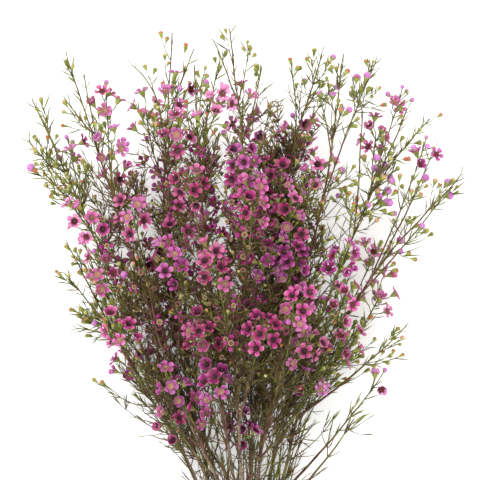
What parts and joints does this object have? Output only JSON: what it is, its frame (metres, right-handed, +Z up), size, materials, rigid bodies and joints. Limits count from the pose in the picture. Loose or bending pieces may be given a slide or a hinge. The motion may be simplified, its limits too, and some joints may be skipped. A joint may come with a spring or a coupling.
{
  "type": "bunch of waxflower stems",
  "caption": "Cut bunch of waxflower lying on its side: thin woody stems fan out from their cut ends into needle-leaved branches with sprays of small pink five-petalled flowers.",
  "frame": {"origin": "under the middle of the bunch, on the surface that it lies on", "axes": "+Y from the cut ends to the flowering tips, +Z up from the surface, +X to the right when seen from above"},
  "size_m": [0.4497, 0.6133, 0.2346],
  "materials": {
    "stem_and_leaf": "dull olive-brown bark and leaf",
    "petal_magenta": "soft waxy sheen",
    "petal_pink": "soft waxy sheen",
    "petal_rose": "soft waxy sheen"
  },
  "bodies": {
    "root": {"stem_1": "stem_and_leaf", "stem_2": "stem_and_leaf", "stem_3": "stem_and_leaf", "stem_4": "stem_and_leaf", "stem_5": "stem_and_leaf", "stem_6": "stem_and_leaf", "stem_7": "stem_and_leaf", "stem_8": "stem_and_leaf", "stem_9": "stem_and_leaf", "stem_10": "stem_and_leaf", "spray_1_1": "petal_magenta", "spray_1_2": "petal_pink", "spray_1_3": "petal_rose", "spray_2_1": "petal_pink", "spray_2_2": "petal_rose", "spray_2_3": "petal_magenta", "spray_2_4": "petal_pink", "spray_3_1": "petal_rose", "spray_3_2": "petal_magenta", "spray_3_3": "petal_pink", "spray_3_4": "petal_rose", "spray_3_5": "petal_magenta", "spray_4_1": "petal_magenta", "spray_4_2": "petal_pink", "spray_4_3": "petal_rose", "spray_4_4": "petal_magenta", "spray_4_5": "petal_pink", "spray_4_6": "petal_rose", "spray_5_1": "petal_pink", "spray_5_2": "petal_rose", "spray_5_3": "petal_magenta", "spray_5_4": "petal_pink", "spray_5_5": "petal_rose", "spray_5_6": "petal_magenta", "spray_5_7": "petal_pink", "spray_6_1": "petal_rose", "spray_6_2": "petal_magenta", "spray_6_3": "petal_pink", "spray_6_4": "petal_rose", "spray_6_5": "petal_magenta", "spray_6_6": "petal_pink", "spray_7_1": "petal_magenta", "spray_7_2": "petal_pink", "spray_7_3": "petal_rose", "spray_7_4": "petal_magenta", "spray_8_1": "petal_pink", "spray_8_2": "petal_rose", "spray_8_3": "petal_magenta", "spray_8_4": "petal_pink", "spray_8_5": "petal_rose", "spray_9_1": "petal_rose", "spray_9_2": "petal_magenta", "spray_9_3": "petal_pink", "spray_9_4": "petal_rose", "spray_9_5": "petal_magenta", "spray_9_6": "petal_pink", "spray_10_1": "petal_magenta", "spray_10_2": "petal_pink", "spray_10_3": "petal_rose", "spray_10_4": "petal_magenta"}
  },
  "joints": []
}
